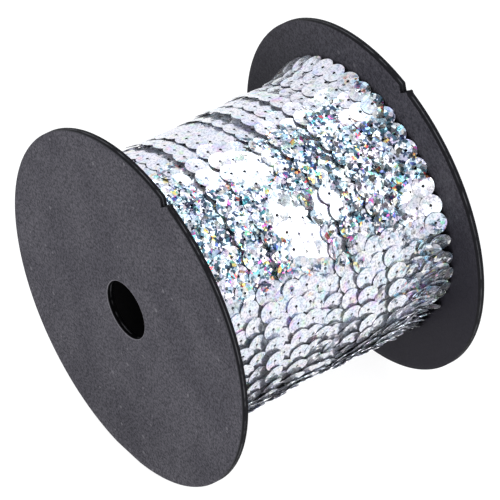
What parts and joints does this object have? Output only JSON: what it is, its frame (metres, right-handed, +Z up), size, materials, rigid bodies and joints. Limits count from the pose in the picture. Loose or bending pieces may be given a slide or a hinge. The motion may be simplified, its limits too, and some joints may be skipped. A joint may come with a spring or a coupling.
{
  "type": "sequin trim on a spool",
  "caption": "Holographic silver sequin trim wound between the two charcoal flanges of a hollow spool, which lies on its rims.",
  "frame": {"origin": "on the surface that the spool lies on, below the middle of its axis", "axes": "+X along the spool's axis, from the left flange to the right one; +Z up; the front faces -Y"},
  "size_m": [0.0784, 0.1, 0.0997],
  "materials": {
    "flange_black": "matte, finely mottled charcoal",
    "core_black": "matte near-black",
    "sequin_silver": "mirror-bright holographic silver sequins sewn in an overlapping strand"
  },
  "bodies": {
    "root": {"flange_left": "flange_black", "flange_right": "flange_black", "core": "core_black", "winding": "sequin_silver"}
  },
  "joints": []
}
